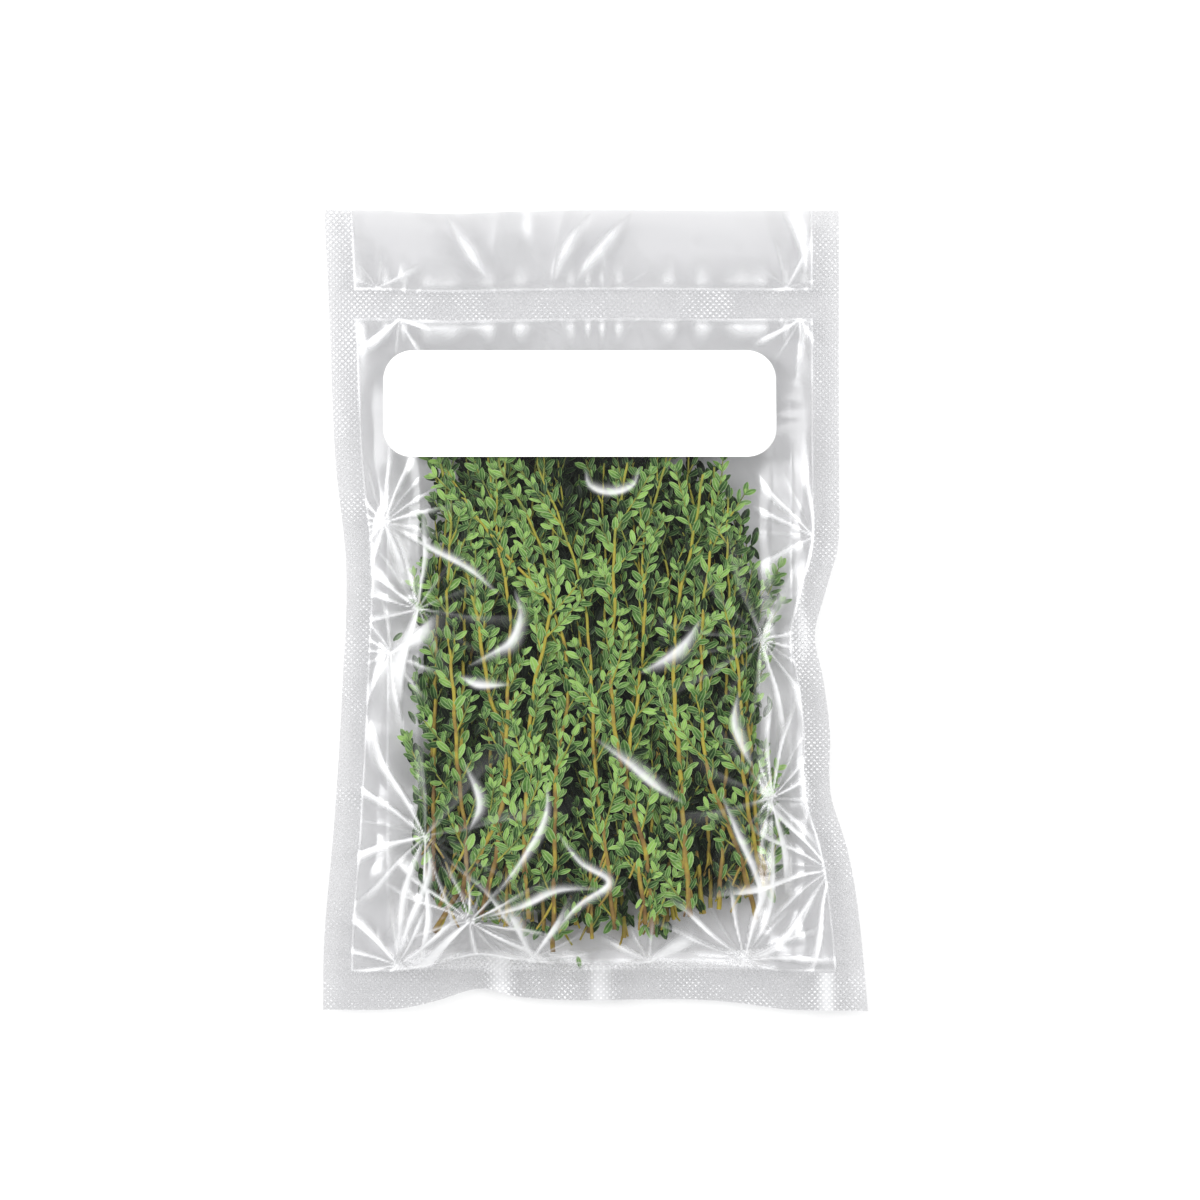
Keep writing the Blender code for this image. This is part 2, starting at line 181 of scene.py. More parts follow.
def fullness(x, y):
    """0 on the flat web round the bundle, 1 over the bundle."""
    return (
        ramp(x - FOOTPRINT_LEFT, LEFT_RISE)
        * ramp(FOOTPRINT_RIGHT - x, RIGHT_RISE)
        * ramp(y - FOOTPRINT_BOTTOM, BOTTOM_RISE)
        * ramp(FOOTPRINT_TOP - y, TOP_RISE)
    )


def web_wave(x, y):
    """The slow rise and fall of the web and the seals, which lie free of the surface below."""
    edge = np.maximum(np.abs(x) / (POUCH_WIDTH / 2), np.abs(y) / (POUCH_LENGTH / 2)) ** 3
    return edge * (0.0011 * np.sin(52 * y + 9 * x + 0.6) + 0.0008 * np.sin(71 * x - 17 * y))


def front_height(x, y):
    crown = 1 - CROWN * (x / FOOTPRINT_RIGHT) ** 2
    return SEAL_HEIGHT + WELD_GAP / 2 + web_wave(x, y) + FRONT_SWELL * crown * fullness(x, y)


def back_height(x, y):
    hanging = SEAL_HEIGHT - WELD_GAP / 2 + web_wave(x, y) - BACK_SWELL * fullness(x, y)
    return np.maximum(FILM_THICKNESS, hanging)


def pouch_point(x, y):
    """Where the points of the flat pouch lie once the vacuum has pulled its sides in."""
    half_width, half_length = POUCH_WIDTH / 2, POUCH_LENGTH / 2
    across = (x + half_width) / POUCH_WIDTH
    along = (y + half_length) / POUCH_LENGTH
    left = -half_width + through(LEFT_PULL, y)
    right = half_width - through(RIGHT_PULL, y)
    pulled_x = left + (right - left) * across
    near_bottom = np.maximum(0, 1 - along * 3)
    near_top = np.maximum(0, along * 3 - 2)
    pulled_y = y + near_bottom * through(BOTTOM_PULL, pulled_x) - near_top * through(TOP_PULL, pulled_x)
    return pulled_x, pulled_y


def smooth_line(points, steps=7):
    """The points of a curve that runs smoothly through the ones given."""
    places = np.arange(len(points), dtype=float)
    at = np.linspace(0, len(points) - 1, (len(points) - 1) * steps + 1)
    curves = [through(list(zip(places, values)), at) for values in zip(*points)]
    return np.stack(curves, axis=1)


def crease_along(x, y, points, half_width):
    """1 on the crest of a crease, falling to 0 at its half width, which is narrower towards its two ends."""
    line = smooth_line(points)
    near = (
        (x > line[:, 0].min() - half_width) & (x < line[:, 0].max() + half_width)
        & (y > line[:, 1].min() - half_width) & (y < line[:, 1].max() + half_width)
    )
    px, py = x[near], y[near]
    best = np.ones(px.shape)
    where = np.zeros(px.shape)
    hand = np.ones(px.shape)
    for k in range(len(line) - 1):
        (ax, ay), (bx, by) = line[k], line[k + 1]
        length = math.hypot(bx - ax, by - ay)
        t = np.clip(((px - ax) * (bx - ax) + (py - ay) * (by - ay)) / length**2, 0, 1)
        away = np.hypot(px - ax - t * (bx - ax), py - ay - t * (by - ay))
        closer = away < best
        hand = np.where(closer, np.sign((bx - ax) * (py - ay) - (by - ay) * (px - ax)), hand)
        best = np.where(closer, away, best)
        where = np.where(closer, (k + t) / (len(line) - 1), where)
    crest = np.zeros(x.shape)
    swell = np.sin(np.pi * where) ** 0.8
    # The crease falls away gently on its left hand and sharply on its right.
    width = half_width * (0.12 + 0.88 * swell) * np.where(hand > 0, 1.15, 0.55)
    crest[near] = np.clip(1 - best / width, 0, 1) * (0.35 + 0.65 * swell)
    return crest


def star(x, y, middle, folds, reach, dice):
    """The height of the folds that radiate from one pinch, and the painted highlight along the lines of their
    crests.
    """
    dx, dy = x - middle[0], y - middle[1]
    away = np.hypot(dx, dy)
    # The folds bend a little on their way out, and crowd together on some sides.
    turn = np.arctan2(dy, dx) + 0.03 * np.sin(away * 200 + dice.uniform(0, 6))
    turn = turn + 0.34 * np.sin(turn + dice.uniform(0, 6)) + 0.17 * np.sin(2 * turn + dice.uniform(0, 6))
    wave = turn * folds / (2 * math.pi) + dice.random()
    crest = 1 - np.abs(2 * (wave % 1) - 1)
    # Some folds are stronger than others, and run further.
    strength = 0.30 + 0.70 * np.abs(np.sin(7.3 * np.floor(wave) + folds))
    fade = np.clip(1 - away / (reach * (0.7 + 0.8 * strength)), 0, 1)
    rise = FOLD_SLOPE / folds * away * crest * strength * fade**0.8
    past = ((wave % 1) - 0.5) * dice.choice((-1, 1))
    # A crest's painted highlight is sharp on one side, and fades into the facet on the other.
    fold_width = 2 * math.pi / folds * away
    soft_side = 0.00022 + (0.05 + 0.15 * strength) * fold_width
    sharp_side = 0.00018 + 0.025 * fold_width
    beam = np.where(past > 0, soft_side, sharp_side)
    line = np.exp(-((np.abs(past) * fold_width / beam) ** 2)) * strength * np.clip(fade * 2, 0, 1)
    # A faint painted sheen lies over the facet on the crest's soft side.
    line = np.maximum(line, 0.20 * (past > 0) * strength * fade * np.clip(1 - past * 2, 0, 1))
    return rise, line


def creases(x, y):
    """The height that all creases add to the films, and the painted highlights of the pinches' folds and the
    long creases.
    """
    rise = np.zeros(x.shape)
    fold = np.zeros(x.shape)
    drawn = np.zeros(x.shape)
    dice = random.Random(5)
    # Over the bundle, and above the cross seal, the painted highlights of the folds are fainter than in the
    # web.
    ragged_end = CUT_END + CUT_END_ROUNDED * (x / BUNDLE_HALF_WIDTH) ** 2
    past_end = np.clip((y - ragged_end) / 0.010, 0, 1)
    past_side = np.clip((BUNDLE_HALF_WIDTH + 0.004 - np.abs(x)) / 0.006, 0, 1)
    over = np.maximum(past_end * past_side, 0.5 * (y > CROSS_SEAL[1]))
    for cx, cy, folds, reach in PINCHES:
        star_rise, line = star(x, y, (cx, cy), round(1.5 * folds), reach, dice)
        rise += star_rise
        fold = np.maximum(fold, 0.9 * line * (1 - 0.75 * over))
    for half_width, height, points in CREASES:
        crest = crease_along(x, y, points, half_width) ** 1.5
        rise += 0.45 * height * crest
        # Painted highlight along each long crease's crest.
        painted_highlight = PAINTED_SKIRT_CREASE_HIGHLIGHT if points[0][1] > CROSS_SEAL[1] else PAINTED_CREASE_HIGHLIGHT
        drawn = np.maximum(drawn, painted_highlight * crest)
    return rise, fold, drawn


def seal_lines(x, y):
    """On the flat pouch: where it is sealed, where a seal's edge runs, and how free the film is between."""
    side = (POUCH_WIDTH / 2 - SIDE_SEAL_WIDTH) - np.abs(x)
    bottom = y + POUCH_LENGTH / 2 - BOTTOM_SEAL_WIDTH
    cross = np.abs(y - sum(CROSS_SEAL) / 2) - (CROSS_SEAL[1] - CROSS_SEAL[0]) / 2
    inside = np.minimum(np.minimum(side, bottom), cross)
    seal = np.clip(0.5 - inside / 0.0008, 0, 1)
    return seal, np.exp(-((inside - 0.0004) / 0.0004) ** 2), ramp(inside, 0.005) ** 2


def gathers(x, y, flat_y):
    """Short tucks where the slack film meets the cross seal: up to 1 on a crest, and fading away from it."""
    below = np.clip((CROSS_SEAL[0] - flat_y) / 0.010, 0, 1)
    above = np.clip((flat_y - CROSS_SEAL[1]) / 0.012, 0, 1)
    tuck = np.abs(np.sin(x * 280 + 2.6 * np.sin(x * 83) + 1.1 * np.sin(x * 211)))
    near = (1 - below) * np.clip(4 * below, 0, 1) + 0.8 * (1 - above) * np.clip(4 * above, 0, 1)
    return tuck**3 * near


def seal_ripple(x, y):
    """Tighter ripples along the stiff welded edges, where the shrinking web gathers them."""
    side = ramp(np.abs(x) - 0.070, 0.012)
    end = ramp(np.abs(y) - 0.108, 0.012)
    along_side = 0.00045 * np.sin(150 * y + 2 * np.sin(47 * y))
    along_end = 0.00060 * np.sin(165 * x + 2.2 * np.sin(58 * x + 1))
    return side * along_side + end * along_end


def draped_fullness(x, y):
    """How far the films stand apart once draped: the same bundle, with a soft, uneven foot to its slopes."""

    def slope(distance, rise, uneven):
        share = np.clip((distance + uneven) / (rise + uneven), 0, 1)
        return share * share * (3 - 2 * share)

    uneven_left = 0.0050 + 0.0013 * np.sin(y * 130) + 0.0008 * np.sin(y * 290 + 1)
    uneven_right = 0.0050 + 0.0013 * np.sin(y * 110 + 2) + 0.0008 * np.sin(y * 260 + 4)
    uneven_bottom = 0.0045 + 0.0012 * np.sin(x * 140 + 1) + 0.0006 * np.sin(x * 310)
    return (
        slope(x - FOOTPRINT_LEFT, LEFT_RISE, uneven_left)
        * slope(FOOTPRINT_RIGHT - x, RIGHT_RISE, uneven_right)
        * slope(y - FOOTPRINT_BOTTOM, BOTTOM_RISE, uneven_bottom)
        * ramp(FOOTPRINT_TOP - y, TOP_RISE)
    )


def draped_height(x, y):
    """The outer face of the front film, before its creases."""
    crown = 1 - CROWN * (x / FOOTPRINT_RIGHT) ** 2
    inner = SEAL_HEIGHT + WELD_GAP / 2 + web_wave(x, y) + FRONT_SWELL * crown * draped_fullness(x, y)
    return inner + FILM_THICKNESS + FRONT_CLEARANCE


def edge_gathers(x, y):
    """Tucks that run from the web up the steep sides of the bundle, where the film has to shrink the most."""
    along = np.where(np.abs(x) / POUCH_WIDTH > np.abs(y + 0.02) / POUCH_LENGTH, y, x)
    full = draped_fullness(x, y)
    tuck = np.abs(np.sin(along * 240 + 2.4 * np.sin(along * 90) + 1.2 * np.sin(along * 210)))
    return 0.0003 * tuck**1.5 * np.clip(4 * full * (1 - full), 0, 1)


def grid_faces(rows, columns, closed=False):
    """The four-sided faces between the points of a grid, whose columns may close into a ring."""
    corner = np.arange(rows * columns).reshape(rows, columns)
    if closed:
        corner = np.concatenate([corner, corner[:, :1]], axis=1)
    faces = np.stack([corner[:-1, :-1], corner[:-1, 1:], corner[1:, 1:], corner[1:, :-1]], axis=-1)
    return faces.reshape(-1, 4)


def film_sheet(name, front, spacing):
    """One film as a fine grid, with the seal mask and the painted highlights of its creases and seals that
    its material reads.
    """
    columns = round(POUCH_WIDTH / spacing) + 1
    rows = round(POUCH_LENGTH / spacing) + 1
    flat_x, flat_y = np.meshgrid(
        np.linspace(-POUCH_WIDTH / 2, POUCH_WIDTH / 2, columns),
        np.linspace(-POUCH_LENGTH / 2, POUCH_LENGTH / 2, rows),
    )
    x, y = pouch_point(flat_x, flat_y)
    rise, fold, drawn = creases(x, y)
    seal, edge, free = seal_lines(flat_x, flat_y)
    full = fullness(x, y)
    past_label_x = np.abs(x - LABEL_CENTRE[0]) - LABEL_WIDTH / 2
    past_label_y = np.abs(y - LABEL_CENTRE[1]) - LABEL_HEIGHT / 2
    under_label = 1 - ramp(np.maximum(past_label_x, past_label_y), 0.007)
    # The shallow wrinkles of the slack web, and the lumps of the leaves that the film is drawn over.
    spots = list(zip(x.ravel(), y.ravel()))
    slack = np.array([noise.fractal(Vector((a * 60, b * 45, 3.0)), 0.9, 2.1, 2) for a, b in spots])
    slack = slack.reshape(x.shape)
    lumps = np.array([noise.noise(Vector((a * 130, b * 90, 7.0))) for a, b in spots])
    lumps = lumps.reshape(x.shape)
    tucks = gathers(x, y, flat_y)
    # Painted highlight on the crests of the tucks along the cross seal.
    fold = np.maximum(fold, PAINTED_TUCK_HIGHLIGHT * tucks * (1 - full))
    # Painted sheen: soft lighter patches over the slack web's shallow wrinkles.
    fold = np.maximum(fold, 0.26 * np.clip(1.5 * slack, 0, 1) * (1 - full))
    rise = (rise + TUCK_RISE * tucks) * (1 - 0.5 * full) + edge_gathers(x, y)
    ripple = seal_ripple(flat_x, flat_y)
    if front:
        z = draped_height(x, y) + ripple
        soft = 0.00026 * slack * (1 - full) + 0.0002 * full * (lumps + 0.7)
        z += free * (1 - under_label) * (rise + soft)
    else:
        z = back_height(x, y) - FILM_THICKNESS + ripple
        z += free * (1 - full) * (0.5 * rise + 0.00018 * slack)
        z = np.maximum(z, 0.00005)
    points = np.stack([x.ravel(), y.ravel(), z.ravel()], axis=1)
    quads = grid_faces(rows, columns)
    if not front:
        quads = quads[:, ::-1]
    mesh = bpy.data.meshes.new(name)
    mesh.vertices.add(len(points))
    mesh.vertices.foreach_set("co", points.ravel())
    mesh.loops.add(quads.size)
    mesh.loops.foreach_set("vertex_index", quads.ravel())
    mesh.polygons.add(len(quads))
    mesh.polygons.foreach_set("loop_start", np.arange(0, quads.size, 4))
    mesh.polygons.foreach_set("use_smooth", np.ones(len(quads), bool))
    mesh.update(calc_edges=True)
    # The bottom seal waves, and painted sheen lies in bands across it.
    painted_sheen_bands = np.clip(np.sin(112 * x + 1.6 * np.sin(71 * x + 1)), 0, 1) ** 4
    painted_sheen_bands = painted_sheen_bands * seal * (flat_y < -POUCH_LENGTH / 2 + BOTTOM_SEAL_WIDTH)
    strengths = {
        "fold": np.maximum(fold, drawn) * (1 - seal),
        "seal": seal,
        # Painted highlight along the seals' inner edges, with the bottom seal's painted sheen bands.
        "edge": np.maximum(edge, painted_sheen_bands),
    }
    for kind, values in strengths.items():
        attribute = mesh.attributes.new(kind, "FLOAT", "POINT")
        attribute.data.foreach_set("value", values.ravel().astype(np.float32))
    film = bpy.data.objects.new(name, mesh)
    bpy.context.collection.objects.link(film)
    return film


class Link:
    """An output of a node in a material. Arithmetic on it adds Math nodes, and node() adds any other node."""

    def __init__(self, tree, socket=None):
        self.tree = tree
        self.socket = socket

    def node(self, kind, settings=None, sockets=None, output=0):
        made = self.tree.nodes.new("ShaderNode" + kind)
        for name, value in (settings or {}).items():
            if name == "stops":
                ramp_stops = made.color_ramp.elements
                while len(ramp_stops) < len(value):
                    ramp_stops.new(1.0)
                for stop, (place, colour) in zip(ramp_stops, value):
                    stop.position = place
                    stop.color = colour
            else:
                setattr(made, name, value)
        for name, value in (sockets or {}).items():
            if isinstance(value, Link):
                self.tree.links.new(value.socket, made.inputs[name])
            else:
                made.inputs[name].default_value = value
        return Link(self.tree, made.outputs[output])

    def also(self, output):
        """Another output of the node that this one belongs to."""
        return Link(self.tree, self.socket.node.outputs[output])

    def math(self, operation, first, second=0.0):
        return self.node("Math", {"operation": operation}, {0: first, 1: second})

    def __add__(self, other):
        return self.math("ADD", self, other)

    def __radd__(self, other):
        return self.math("ADD", other, self)

    def __sub__(self, other):
        return self.math("SUBTRACT", self, other)

    def __rsub__(self, other):
        return self.math("SUBTRACT", other, self)

    def __mul__(self, other):
        return self.math("MULTIPLY", self, other)

    def __pow__(self, other):
        return self.math("POWER", self, other)

    def clamped(self):
        return self.node("Clamp", None, {"Value": self})

    def mix(self, colour_a, colour_b):
        """colour_a where this is 0, colour_b where it is 1."""
        return self.node("Mix", {"data_type": "RGBA"}, {0: self, 6: colour_a, 7: colour_b}, output=2)


def new_material(name):
    """A material with only its output, and the link that its nodes start from."""
    material = bpy.data.materials.new(name)
    material.use_nodes = True
    tree = material.node_tree
    tree.nodes.clear()
    return material, Link(tree)


def finish_material(start, surface):
    """Leads the finished shader to the material's output."""
    output = start.tree.nodes.new("ShaderNodeOutputMaterial")
    start.tree.links.new(surface.socket, output.inputs["Surface"])


def film_material():
    """Clear film: see-through and glossy, with painted highlights that lighten its creases, its seals' edges
    and the embossed seals.
    """
    material, start = new_material("clear_film")
    place = start.node("TexCoord", output=3)
    fold = start.node("Attribute", {"attribute_name": "fold"}, output=2)
    seal = start.node("Attribute", {"attribute_name": "seal"}, output=2)
    edge = start.node("Attribute", {"attribute_name": "edge"}, output=2)
    x = start.node("SeparateXYZ", None, {"Vector": place})
    y = x.also(1)
    # The sealing bars' criss-cross of dimples, 1.3 mm apart, pressed harder in some places than in others.
    one_way = start.math("SINE", (x + y) * 1700)
    other_way = start.math("SINE", (x - y) * 1700)
    dimples = start.math("ABSOLUTE", one_way * other_way) ** 2
    patchy = start.node("TexNoise", None, {"Vector": place, "Scale": 42.0, "Detail": 5.0, "Roughness": 0.6})
    fine = start.node("TexNoise", None, {"Vector": place, "Scale": 900.0, "Detail": 3.0})
    pressing_and_glints = ((patchy - 0.48) * 5).clamped()
    emboss = dimples * (0.7 + pressing_and_glints) + fine * (0.4 + pressing_and_glints * 1.2)
    crinkle = start.node("TexNoise", None, {"Vector": place, "Scale": 190.0, "Detail": 2.0})
    height = emboss * seal * 0.00008 + crinkle * 0.000012 * (1 - seal)
    bump = start.node("Bump", None, {"Strength": 1.0, "Distance": 1.0, "Height": height})
    # Painted glints on the dimples, clustered where they are pressed harder; the feathered painted highlights
    # of the creases; a painted highlight along the seals' inner edges; a patchy painted sheen over the seals;
    # and what they add up to.
    painted_glints = seal * ((dimples * fine - 0.25) * 4).clamped() * (0.42 + pressing_and_glints * 0.7)
    feather = 0.70 + crinkle * 0.60
    painted_highlight = fold * feather + edge * 0.42 + seal * (0.05 + pressing_and_glints * 0.09) + painted_glints * 0.80
    share = (0.05 + painted_highlight * 0.72).clamped()
    gloss = start.node(
        "BsdfPrincipled",
        None,
        {
            "Base Color": (0.93, 0.935, 0.945, 1),
            "Metallic": (1.0 - painted_highlight * 1.6).clamped(),
            "Roughness": 0.24 + seal * 0.06,
            "Normal": bump,
        },
    )
    clear = start.node("BsdfTransparent", None, {"Color": (0.918, 0.918, 0.923, 1)})
    surface = start.node("MixShader", None, {0: share, 1: clear, 2: gloss})
    finish_material(start, surface)
    return material


LABEL_WIDTH = 0.1223
LABEL_HEIGHT = 0.0335
LABEL_CENTRE = (-0.0048, 0.0641)

clear_film = film_material()
back_film = film_sheet("back_film_clear", front=False, spacing=0.00075)
back_film.data.materials.append(clear_film)
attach(back_film, "root")
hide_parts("back_film")

# --- Thyme sprigs ---------------------------------------------------------------------------------
# Fresh thyme cut about 16 cm long and laid side by side in four layers, cut ends together and tips under the
# label. Each sprig is a thin woody stem, golden to red-brown where it is older, with paired leaves and short
# leafy side shoots at its joints. The vacuum presses the layers between the films.

# For each layer, from the lowest up: its sprigs, its width, and how far its stems lean along X.
LAYER_SPRIGS = (10, 12, 12, 11)
LAYER_WIDTH = (0.0960, 0.1110, 0.1110, 0.1030)
LAYER_LEAN = (0.0030, -0.0028, 0.0034, -0.0030)
LAYER_DEPTH = 0.0032
BUNDLE_CENTRE = -0.0015
STEM_SIDES = 6
TOP_LAYER = len(LAYER_SPRIGS) - 1

# A leaf's grid: places across it, places along it, and its width at each of those.
LEAF_ACROSS = np.array((-1.0, -0.5, 0.0, 0.5, 1.0))
LEAF_ALONG = np.array((0.0, 0.13, 0.32, 0.53, 0.74, 0.91, 1.0))
LEAF_OUTLINE = np.array((0.16, 0.50, 0.86, 1.0, 0.86, 0.50, 0.06))

# The top layer's stems cross each other: where each one runs along X, at these places along Y.
TOP_STATIONS = (-0.100, -0.075, -0.050, -0.025, 0.000, 0.020, 0.045)
TOP_ROUTES = (
    (-0.042, -0.040, -0.0425, -0.044, -0.046, -0.045, -0.044),
    (-0.050, -0.035, -0.0265, -0.033, -0.037, -0.042, -0.048),
    (-0.037, -0.0305, -0.028, -0.027, -0.0265, -0.030, -0.033),
    (-0.020, -0.022, -0.021, -0.019, -0.014, -0.017, -0.030),
    (-0.013, -0.0125, -0.012, -0.0085, -0.013, -0.030, -0.048),
    (0.006, 0.0035, 0.000, -0.001, -0.003, -0.008, -0.018),
    (0.018, 0.0155, 0.0085, 0.005, 0.006, 0.006, 0.010),
    (0.016, 0.013, 0.010, 0.0135, 0.0155, 0.015, 0.022),
    (0.030, 0.028, 0.0265, 0.0245, 0.0255, 0.030, 0.034),
    (0.051, 0.0445, 0.035, 0.033, 0.0335, 0.036, 0.037),
    (0.056, 0.050, 0.046, 0.045, 0.042, 0.041, 0.0415),
)

# How much of a stem is bare at its cut end. It is more in some lanes of the top layer.
BARE_LANES = (1, 9, 10)
LONG_BARE_SHARE = 0.12
BARE_SHARES = (0.005, 0.01, 0.02, 0.03, 0.07)

# Stems whose cut ends bend out sideways from the bundle: how far along X.
STRAY_ENDS = {"sprig_24": -0.006, "sprig_34": 0.006}

# Stems that were cut longer than the rest, and by how much.
LONG_ENDS = {"sprig_36": 0.007, "sprig_45": 0.002, "sprig_44": 0.003, "sprig_39": 0.004}

# Leaves that handling stripped from each of the lower layers' stems, which fill the bed between them.
BED_LEAVES = 90

# The materials of a sprig's faces, in order.
STEM, LEAF, CUT = 0, 1, 2


class Plant:
    """Gathers the points and faces of one sprig, with each point's place on its blade and its tone."""

    def __init__(self):
        self.points, self.faces, self.kinds = [], [], []
        self.blade, self.tone, self.on_leaf = [], [], []
        self.count = 0

    def add(self, points, faces, blade, tone, kind):
        self.points.append(points)
        self.faces.append(faces + self.count)
        self.blade.append(blade)
        self.tone.append(np.broadcast_to(tone, (len(points),)))
        self.on_leaf.append(np.full(len(points), kind == LEAF))
        self.kinds.append(np.full(len(faces), kind))
        self.count += len(points)


def unit(vector):
    return vector / np.linalg.norm(vector)


LEAF_FACES = grid_faces(len(LEAF_ALONG), len(LEAF_ACROSS))
LEAF_U, LEAF_T = np.meshgrid(LEAF_ACROSS, LEAF_ALONG)
LEAF_W = np.repeat(LEAF_OUTLINE[:, None], len(LEAF_ACROSS), axis=1)
LEAF_BLADE = np.stack([LEAF_U.ravel() * 0.5 + 0.5, LEAF_T.ravel()], axis=1)


def add_leaf(plant, foot, way, up, length, width, dice, tone):
    """One leaf from its foot along way, its face turned towards up, keeled along the midrib."""
    way = unit(way)
    side = unit(np.cross(way, up))
    up = np.cross(side, way)
    keel = dice.uniform(0.04, 0.26) * width
    bend = dice.uniform(-0.10, 0.22) * length
    twist = dice.uniform(-0.25, 0.25)
    along = LEAF_T * length
    across = LEAF_U * LEAF_W * width / 2
    lift = keel * np.abs(LEAF_U) ** 1.5 * LEAF_W - bend * LEAF_T**2 + twist * across * LEAF_T
    points = (
        foot
        + along.ravel()[:, None] * way
        + across.ravel()[:, None] * side
        + lift.ravel()[:, None] * up
    )
    plant.add(points, LEAF_FACES, LEAF_BLADE, tone, LEAF)


def add_stem(plant, line, radius_from, radius_to, tone_from, tone_to):
    """A round stem along a line of points, with a cut face at its foot."""
    steps = len(line)
    tangents = np.gradient(line, axis=0)
    tangents /= np.linalg.norm(tangents, axis=1)[:, None]
    side = np.cross(tangents, (0, 0, 1))
    side /= np.linalg.norm(side, axis=1)[:, None]
    up = np.cross(side, tangents)
    share = np.linspace(0, 1, steps)
    radius = radius_from + (radius_to - radius_from) * share
    angles = np.arange(STEM_SIDES) * 2 * math.pi / STEM_SIDES
    ring = np.cos(angles)[None, :, None] * side[:, None, :] + np.sin(angles)[None, :, None] * up[:, None, :]
    points = line[:, None, :] + ring * radius[:, None, None]
    tone = np.repeat(tone_from + (tone_to - tone_from) * share, STEM_SIDES)
    blade = np.stack([np.tile(angles / (2 * math.pi), steps), np.repeat(share, STEM_SIDES)], axis=1)
    faces = grid_faces(steps, STEM_SIDES, closed=True)
    plant.add(points.reshape(-1, 3), faces, blade, tone, STEM)
    cut = np.concatenate([line[:1], points[0]])
    turns = np.arange(STEM_SIDES)
    middle = turns * 0
    cut_faces = np.stack([middle, turns + 1, (turns + 1) % STEM_SIDES + 1, middle], axis=1)
    plant.add(cut, cut_faces, np.zeros((len(cut), 2)), 1.0, CUT)


QUARTER_TURN = 1.57


def add_joint(plant, place, tangent, turn, dice, size, tone, tuft, upside=False):
    """The leaves of one joint: an opposite pair, and a tuft of small new leaves where they meet the stem."""
    flat_side = unit(np.cross(tangent, (0, 0, 1)))
    flip = -1 if upside else 1
    for k in range(2 + tuft):
        young = k >= 2
        around = turn + math.pi * k + dice.uniform(-0.6, 0.6) + (QUARTER_TURN if young else 0)
        lean = math.radians(dice.uniform(6, 36) if young else dice.uniform(22, 56))
        out = flat_side * math.cos(around) + np.array((0, 0, 0.55)) * math.sin(around)
        way = flip * tangent * math.cos(lean) + unit(out) * math.sin(lean)
        way[2] *= 0.6
        up = np.array((dice.gauss(0, 0.42), dice.gauss(0, 0.42), 1.0))
        length = size * (dice.uniform(0.48, 0.72) if young else dice.uniform(0.82, 1.15))
        width = length * dice.uniform(0.34, 0.47)
        leaf_tone = min(1, max(0, tone + dice.gauss(0.10 if young else 0, 0.27)))
        add_leaf(plant, place, way, up, length, width, dice, leaf_tone)


def add_shoot(plant, foot, way, length, dice, tone, bow):
    """A soft side shoot, with joints closer together than the stem's and a bunch of leaves at its end."""
    count = max(3, int(length / 0.0024))
    share = np.linspace(0, 1, count)
    side = unit(np.cross(way, (0, 0, 1)))
    line = foot + share[:, None] * way * length + (share**2)[:, None] * side * bow * length
    add_stem(plant, line, 0.00034, 0.00020, 0.80, 1.0)
    turn = dice.uniform(0, 3)
    for k in range(1, count):
        tangent = unit(line[k] - line[k - 1])
        turn += math.pi / 2
        last = k == count - 1
        size = 0.0053 - 0.0014 * share[k]
        add_joint(plant, line[k], tangent, turn, dice, size, tone + 0.15 * share[k],
                  tuft=4 if last else dice.choice((0, 1, 2)))


def pressed(points):
    """Lays level layers between the two films, keeping what is higher above what is lower."""
    depth = LAYER_DEPTH * len(LAYER_SPRIGS)
    level = (points[:, 2] - depth / 2) / (depth / 2)
    level = level / (1 + np.abs(level) ** 5) ** 0.2
    x, y = points[:, 0], points[:, 1]
    low = back_height(x, y) + FILM_THICKNESS
    high = np.maximum(front_height(x, y) - FRONT_CLEARANCE, low + FILM_THICKNESS)
    points[:, 2] = low + (high - low) * (level * 0.5 + 0.5)
    return points


